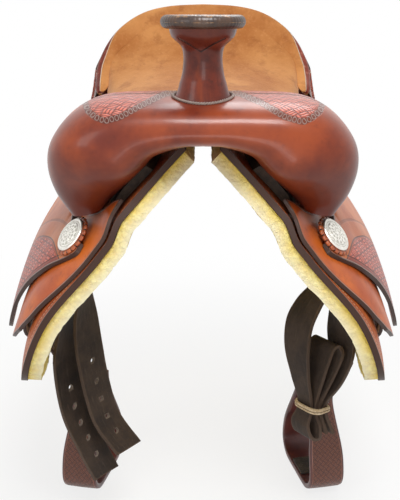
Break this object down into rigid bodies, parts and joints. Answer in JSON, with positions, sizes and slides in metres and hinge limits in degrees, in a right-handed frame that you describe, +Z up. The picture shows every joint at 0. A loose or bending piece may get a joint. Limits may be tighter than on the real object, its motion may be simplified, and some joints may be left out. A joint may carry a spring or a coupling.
{
  "type": "trail saddle",
  "caption": "Western trail saddle on a wooden tree: horn, covered swell, suede seat, skirts with fleece, in-skirt rigging with straps, swinging fenders and tilting stirrups.",
  "frame": {"origin": "under the front of the gullet, on the saddle's middle plane, where the horse's back comes up between the skirts", "axes": "-Y the horse's front, +X the horse's near (left) side, +Z up"},
  "size_m": [0.4946, 0.7064, 0.6616],
  "materials": {
    "chestnut_leather": "smooth, glossy",
    "tooled_leather": "basket stamped",
    "russet_leather": "oiled",
    "tan_suede": "suede",
    "dark_burnished_leather": "burnished",
    "latigo_leather": "oil tanned, matt",
    "tan_thong": "raw",
    "sheepskin": "woolly pile",
    "tree_wood": "plain",
    "engraved_silver": "engraved, dulled",
    "bright_steel": "bright",
    "tread_leather": "rough"
  },
  "bodies": {
    "saddle": {"horn_wrap": "chestnut_leather", "horn_cap": "chestnut_leather", "swell_cover": "chestnut_leather", "cantle_binding": "chestnut_leather", "cantle_back": "tooled_leather", "seat_jockey_left": "tooled_leather", "seat_jockey_right": "tooled_leather", "rear_jockey_left": "tooled_leather", "rear_jockey_right": "tooled_leather", "ground_seat": "russet_leather", "front_jockey_left": "russet_leather", "front_jockey_right": "russet_leather", "skirt_left": "russet_leather", "skirt_right": "russet_leather", "padded_seat": "tan_suede", "horn_cap_binding": "dark_burnished_leather", "rosette_front_left": "dark_burnished_leather", "rosette_front_right": "dark_burnished_leather", "rosette_rear_left": "dark_burnished_leather", "rosette_rear_right": "dark_burnished_leather", "off_billet": "latigo_leather", "latigo": "latigo_leather", "latigo_tie": "tan_thong", "fleece_left": "sheepskin", "fleece_right": "sheepskin", "tree_fork": "tree_wood", "tree_cantle": "tree_wood", "tree_bar_left": "tree_wood", "tree_bar_right": "tree_wood", "concho_front_left": "engraved_silver", "concho_front_right": "engraved_silver", "concho_rear_left": "engraved_silver", "concho_rear_right": "engraved_silver", "horn_core": "bright_steel", "rigging_plate_left": "bright_steel", "rigging_plate_right": "bright_steel"},
    "fender_left_swinging": {"stirrup_leather_left": "latigo_leather", "fender_left": "russet_leather", "hobble_strap_left": "dark_burnished_leather", "stirrup_roller_left": "bright_steel"},
    "stirrup_left_hanging": {"stirrup_left": "tooled_leather", "stirrup_bolt_left": "bright_steel", "stirrup_tread_left": "tread_leather"},
    "fender_right_swinging": {"stirrup_leather_right": "latigo_leather", "fender_right": "russet_leather", "hobble_strap_right": "dark_burnished_leather", "stirrup_roller_right": "bright_steel"},
    "stirrup_right_hanging": {"stirrup_right": "tooled_leather", "stirrup_bolt_right": "bright_steel", "stirrup_tread_right": "tread_leather"}
  },
  "joints": [
    {"name": "fender_swing_left", "type": "hinge", "parent": "saddle", "child": "fender_left_swinging", "pos_m": [0.08546, 0.21, -0.05175], "axis": [0.7144, 0, 0.6997], "range_deg": [-5, 8]},
    {"name": "stirrup_tilt_left", "type": "hinge", "parent": "fender_left_swinging", "child": "stirrup_left_hanging", "pos_m": [0.158, 0.21, -0.392], "axis": [-0.2079, 0.9781, 0], "range_deg": [-40, 40]},
    {"name": "fender_swing_right", "type": "hinge", "parent": "saddle", "child": "fender_right_swinging", "pos_m": [-0.08546, 0.21, -0.05175], "axis": [0.7144, 0, -0.6997], "range_deg": [-5, 8]},
    {"name": "stirrup_tilt_right", "type": "hinge", "parent": "fender_right_swinging", "child": "stirrup_right_hanging", "pos_m": [-0.158, 0.21, -0.392], "axis": [0.2079, 0.9781, 0], "range_deg": [-40, 40]}
  ]
}
